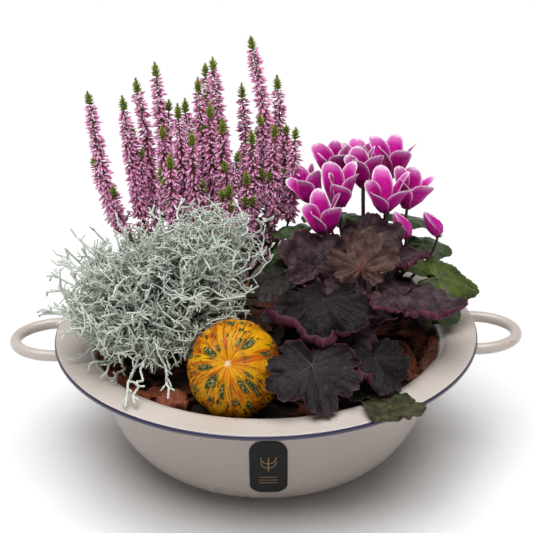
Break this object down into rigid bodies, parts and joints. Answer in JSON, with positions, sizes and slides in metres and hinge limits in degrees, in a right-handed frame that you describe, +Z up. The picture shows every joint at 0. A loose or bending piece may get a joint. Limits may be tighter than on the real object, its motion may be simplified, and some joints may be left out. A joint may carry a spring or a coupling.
{
  "type": "planted autumn bowl with heather, silver cushion bush, heuchera, cyclamen and gourd",
  "caption": "Round enamelled basin with flared rim and two loop handles, planted with heather, a silver cushion bush, purple heuchera and cyclamen round an ornamental gourd.",
  "frame": {"origin": "middle of the basin's flat underside", "axes": "+Z up, -Y the front that faces the viewer, with the label on it, +X right, through the two handles"},
  "size_m": [0.4898, 0.4, 0.3921],
  "materials": {
    "enamel": "warm pale greige glossy enamel, navy rolled edge",
    "label": "matt charcoal",
    "soil": "damp crumbly compost",
    "bark": "rough dry bark",
    "gourd": "waxy orange and yellow rind with dark green flecks",
    "cushion_bush": "silvery grey felted stems",
    "heather": "dry mauve buds with green tips",
    "heuchera_leaf": "satin dark purple leaf",
    "cyclamen_leaf": "satin green leaf, paler marbling",
    "cyclamen_flower": "magenta petals with white edges"
  },
  "bodies": {
    "root": {"basin": "enamel", "handle_right": "enamel", "handle_left": "enamel", "label": "label", "potting_soil": "soil", "bark_mulch": "bark", "bark_chunk_1": "bark", "bark_chunk_2": "bark", "bark_chunk_3": "bark", "bark_chunk_4": "bark", "bark_chunk_5": "bark", "bark_chunk_6": "bark", "bark_chunk_7": "bark", "gourd": "gourd", "cushion_bush": "cushion_bush", "heather_1": "heather", "heather_2": "heather", "heather_3": "heather", "heather_4": "heather", "heather_5": "heather", "heather_6": "heather", "heather_7": "heather", "heather_8": "heather", "heather_9": "heather", "heather_10": "heather", "heather_11": "heather", "heuchera_front": "heuchera_leaf", "heuchera_middle": "heuchera_leaf", "heuchera_upper_left": "heuchera_leaf", "heuchera_bronze": "heuchera_leaf", "heuchera_back": "heuchera_leaf", "heuchera_right": "heuchera_leaf", "heuchera_low_right": "heuchera_leaf", "heuchera_over_rim": "heuchera_leaf", "heuchera_left": "heuchera_leaf", "heuchera_purple": "heuchera_leaf", "heuchera_centre": "heuchera_leaf", "heuchera_low_left": "heuchera_leaf", "heuchera_low_front": "heuchera_leaf", "cyclamen_leaf_far_right": "cyclamen_leaf", "cyclamen_leaf_low_right": "cyclamen_leaf", "cyclamen_leaf_right": "cyclamen_leaf", "cyclamen_leaf_back_right": "cyclamen_leaf", "cyclamen_leaf_back": "cyclamen_leaf", "cyclamen_leaf_behind": "cyclamen_leaf", "cyclamen_leaf_left": "cyclamen_leaf", "cyclamen_leaf_back_left": "cyclamen_leaf", "cyclamen_bloom_1": "cyclamen_flower", "cyclamen_bloom_2": "cyclamen_flower", "cyclamen_bloom_3": "cyclamen_flower", "cyclamen_bloom_4": "cyclamen_flower", "cyclamen_bloom_5": "cyclamen_flower", "cyclamen_bloom_6": "cyclamen_flower", "cyclamen_bloom_7": "cyclamen_flower", "cyclamen_bloom_8": "cyclamen_flower", "cyclamen_bloom_9": "cyclamen_flower", "cyclamen_bud_1": "cyclamen_flower", "cyclamen_bud_2": "cyclamen_flower"}
  },
  "joints": []
}
